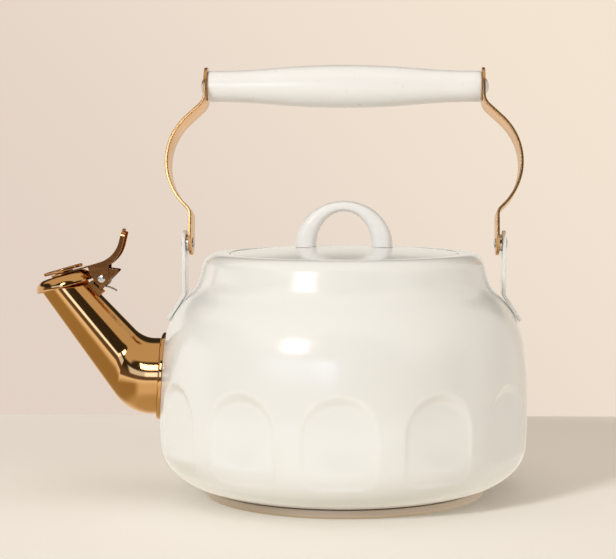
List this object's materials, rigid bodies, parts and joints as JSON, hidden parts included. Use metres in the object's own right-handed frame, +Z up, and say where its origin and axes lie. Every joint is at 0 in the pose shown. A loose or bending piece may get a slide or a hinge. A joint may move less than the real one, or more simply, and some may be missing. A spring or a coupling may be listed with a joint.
{
  "type": "whistling kettle",
  "caption": "Round enamelled kettle with arch panels pressed into its belly, a copper spout with a sprung whistle flap, a lift-off lid and a swinging bail.",
  "frame": {"origin": "middle of the base's resting face, on the table under the body's axis", "axes": "+Z up along the body's axis, -X towards the spout, -Y towards the picture's camera"},
  "size_m": [0.2581, 0.1924, 0.2242],
  "materials": {
    "enamel": "glossy warm white enamel",
    "copper": "polished copper",
    "steel": "polished steel",
    "base_steel": "brushed steel",
    "handle_white": "satin white",
    "brass": "turned brass"
  },
  "bodies": {
    "kettle": {"body_shell": "enamel", "base_disc": "base_steel", "spout_collar": "copper", "spout_tube": "copper", "flap_bracket": "copper", "flap_pin": "steel", "flap_spring": "steel", "left_lug": "enamel", "right_lug": "enamel", "left_spacer_washer": "steel", "right_spacer_washer": "steel", "left_pivot_rivet": "steel", "right_pivot_rivet": "steel"},
    "bail": {"left_strap": "copper", "right_strap": "copper", "grip": "handle_white", "grip_inserts": "brass", "left_grip_screw": "steel", "right_grip_screw": "steel"},
    "lid": {"lid": "enamel", "lid_arch": "handle_white", "lid_screws": "steel"},
    "flap": {"flap_cap": "copper", "whistle_upper_plate": "copper", "whistle_lower_plate": "copper", "flap_lever": "copper"}
  },
  "joints": [
    {"name": "bail_swing", "type": "hinge", "parent": "kettle", "child": "bail", "pos_m": [0, 0, 0.131], "axis": [1, 0, 0], "range_deg": [-80, 100]},
    {"name": "lid_lift", "type": "slide", "parent": "kettle", "child": "lid", "axis": [0, 0, 1], "range_m": [0, 0.03]},
    {"name": "flap_open", "type": "hinge", "parent": "kettle", "child": "flap", "pos_m": [-0.1267, 0, 0.11221], "axis": [0, 1, 0], "range_deg": [0, 40], "stiffness_Nm_per_rad": 0.03, "springref_deg": -57.3, "deforming": ["flap_spring"]}
  ]
}
